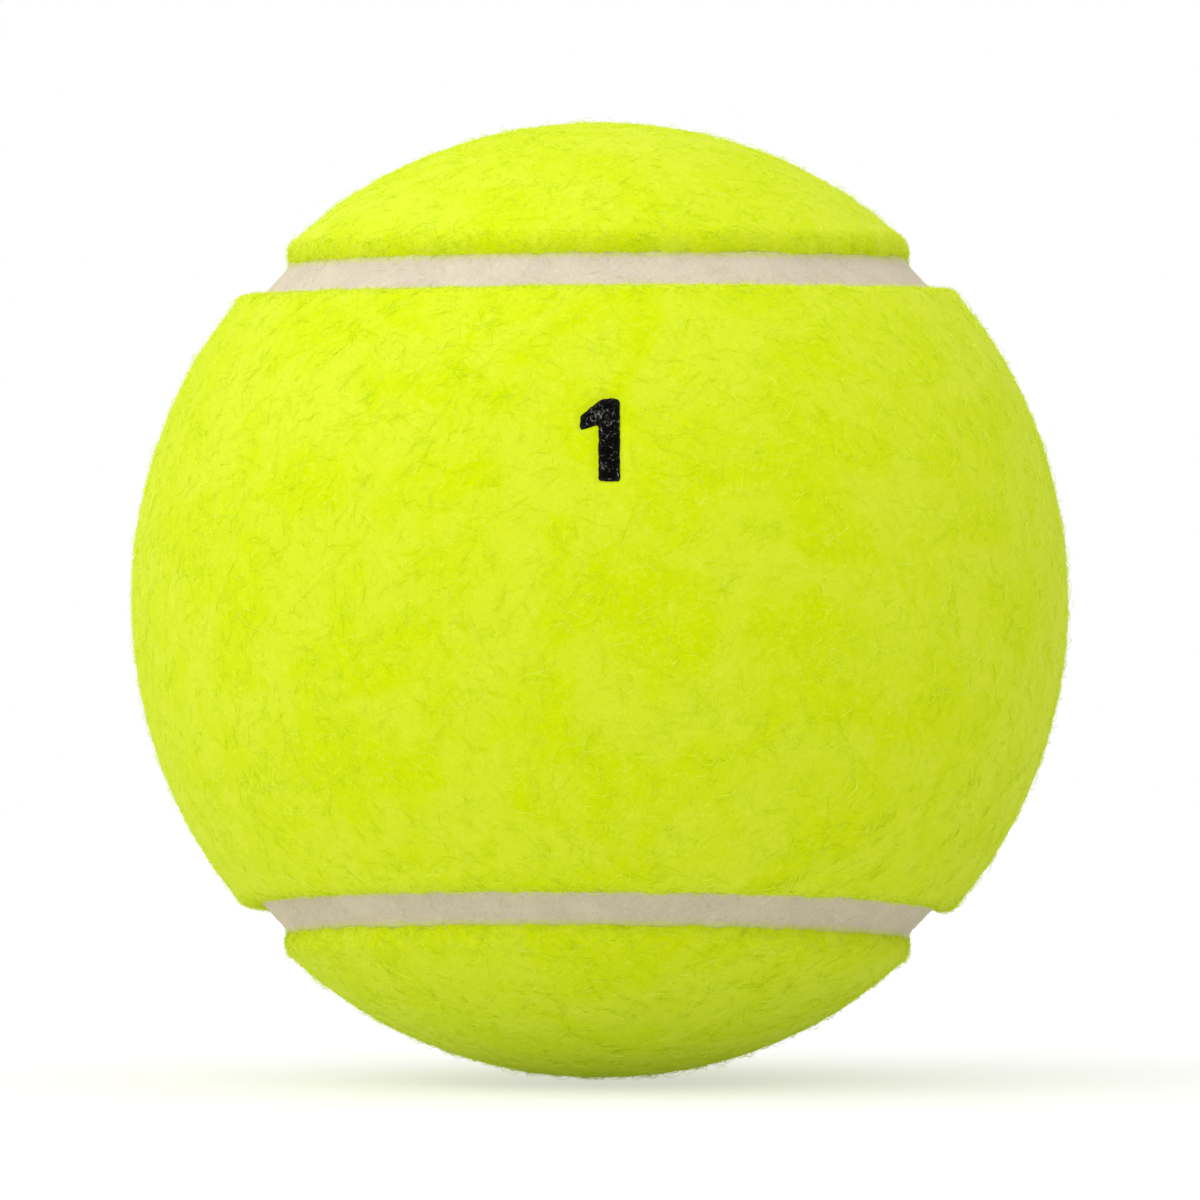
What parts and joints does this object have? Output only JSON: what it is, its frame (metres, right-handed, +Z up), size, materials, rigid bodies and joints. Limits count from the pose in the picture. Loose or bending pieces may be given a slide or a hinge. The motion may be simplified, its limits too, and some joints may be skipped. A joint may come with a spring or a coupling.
{
  "type": "tennis ball",
  "caption": "Pressurised tennis ball: hollow two-piece rubber core under two interlocking yellow felt panels with a recessed rubber seam and a plain printed number.",
  "frame": {"origin": "centre of the ball", "axes": "+Z up; -Y is the front, through the middle of the front panel's waist, whose long way lies along X; +Y goes through the middle of the back panel's waist, whose long way stands along Z"},
  "size_m": [0.067, 0.067, 0.067],
  "materials": {
    "core_rubber": "moulded rubber, matt, lightly buffed outside",
    "joint_cement": "cured rubber cement",
    "core_cement": "cured rubber cement, satin",
    "felt": "raised and fulled wool and nylon felt, optic yellow",
    "panel_cement": "cured rubber cement on the cloth's back",
    "seam_rubber": "cured seam rubber, matt off-white",
    "print_ink": "black transfer ink, half gloss"
  },
  "bodies": {
    "root": {"core_shell_upper": "core_rubber", "core_shell_lower": "core_rubber", "core_joint_cement": "joint_cement", "core_cement_coat": "core_cement", "felt_panel_front": "felt", "felt_panel_back": "felt", "panel_cement_front": "panel_cement", "panel_cement_back": "panel_cement", "seam_rubber": "seam_rubber", "printed_number": "print_ink"}
  },
  "joints": []
}
